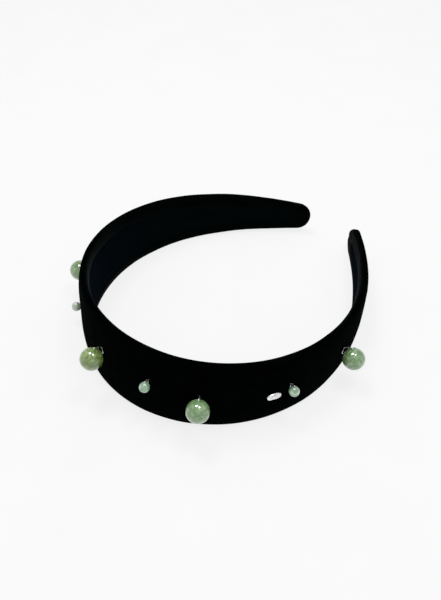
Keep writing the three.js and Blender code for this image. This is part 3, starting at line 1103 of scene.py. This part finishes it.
def build_dangles(dangles):
    jade = {cast: jade_material(cast) for cast in JADE_CASTS}
    silver = silver_material("bail_silver", roughness=0.22)
    thread = thread_material()
    for d in dangles:
        n = d["n"]
        cast = bead_cast(d)
        depth = loop_height(d) + LOOP_ROOT
        for piece, look, body, node, slot in (
            (jade_bead(d), jade[cast], f"bead_{n}_body", f"bead_{n}", "jade"),
            (wire_bail(d), silver, f"bail_{n}_body", f"wire_bail_{n}", "silver"),
            (thread_loop(d, depth), thread, d["body"], f"thread_loop_{n}", "thread"),
        ):
            paint(piece, look)
            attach(piece, body)
            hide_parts(node)


def build_tag():
    tag = metal_tag()
    paint(tag, silver_material("tag_silver", roughness=0.2))
    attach(tag, "right_arm")
    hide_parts("metal_tag")


def finish_core():
    plastic = core_material()
    for name, node in frame["nodes"].items():
        if name.startswith("spring_core"):
            paint(node, plastic)


def stitch_points(dangles):
    """Where the two ends of each thread loop go into the velvet."""
    points = []
    for d in dangles:
        depth = loop_height(d) + LOOP_ROOT / 2
        for end in (-1, 1):
            points.append(d["bar"] + end * d["bar_half"] * d["along_band"] - outward_of(d) * depth)
    return points


# ---- Studio ----

def add_floor():
    """A pale table top, large enough to fill every view."""
    signs = [(-1, -1), (1, -1), (1, 1), (-1, 1)]
    corners = [(x * TABLE_HALF, y * TABLE_HALF, 0) for x, y in signs]
    floor = mesh_piece("floor", corners, [(0, 1, 2, 3)])
    made, tree, shader = new_material("pale_table")
    set_inputs(shader, Roughness=0.9, Emission_Strength=TABLE_GLOW)
    shader.inputs["Emission Color"].default_value = (1.0, 1.0, 1.0, 1.0)
    shader.inputs["Specular IOR Level"].default_value = 0.1
    place = tree.nodes.new("ShaderNodeTexCoord")
    grain = add_noise(tree, place, "Object", 30.0, detail=2)
    colour = add_ramp(tree, grain, "Fac", [(0.0, (0.11, 0.11, 0.11)), (1.0, (0.13, 0.13, 0.13))])
    link(tree, colour, "Color", shader, "Base Color")
    paint(floor, made)
    floor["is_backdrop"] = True


def add_area_light(name, location, size, power):
    data = bpy.data.lights.new(name, "AREA")
    data.shape = "DISK"
    data.size = size
    data.energy = power
    light = bpy.data.objects.new(name, data)
    light.location = location
    direction = Vector(LAMP_TARGET) - Vector(location)
    light.rotation_euler = direction.to_track_quat("-Z", "Y").to_euler()
    bpy.context.scene.collection.objects.link(light)


def add_studio():
    """Even white surroundings and two soft lights."""
    world = bpy.data.worlds.new("studio")
    world.use_nodes = True
    background = world.node_tree.nodes["Background"]
    set_inputs(background, Color=(1.0, 1.0, 1.0, 1.0), Strength=SURROUND)
    bpy.context.scene.world = world
    bpy.context.scene.view_settings.view_transform = "Standard"
    add_area_light("key", **KEY_LAMP)
    add_area_light("fill", **FILL_LAMP)


def add_camera():
    """The camera looks down at the right side of the crown."""
    right = Vector((math.cos(CAMERA_AZIMUTH), math.sin(CAMERA_AZIMUTH), 0))
    level_back = Vector((math.sin(CAMERA_AZIMUTH), -math.cos(CAMERA_AZIMUTH), 0))
    back = level_back * math.cos(CAMERA_ELEVATION) + Vector((0, 0, math.sin(CAMERA_ELEVATION)))
    up = back.cross(right)
    across = right * math.cos(CAMERA_ROLL) - up * math.sin(CAMERA_ROLL)
    upward = right * math.sin(CAMERA_ROLL) + up * math.cos(CAMERA_ROLL)
    data = bpy.data.cameras.new("camera")
    data.lens = CAMERA_LENS
    data.sensor_width = SENSOR
    camera = bpy.data.objects.new("camera", data)
    rotation = Matrix((across, upward, back)).transposed().to_4x4()
    plane, crown = band_placement()
    aim = Vector(crown + plane @ np.array([0.0, CAMERA_AIM_BEHIND_CROWN, 0.0]))
    place = aim + back * CAMERA_DISTANCE - across * CAMERA_PAN[0] - upward * CAMERA_PAN[1]
    camera.matrix_world = Matrix.Translation(place) @ rotation
    bpy.context.scene.collection.objects.link(camera)
    bpy.context.scene.camera = camera


add_camera()
add_studio()
add_floor()
all_dangles = [dangle(n) for n in range(1, DANGLE_COUNT + 1)]
build_band(stitch_points(all_dangles))
build_dangles(all_dangles)
build_tag()
finish_core()
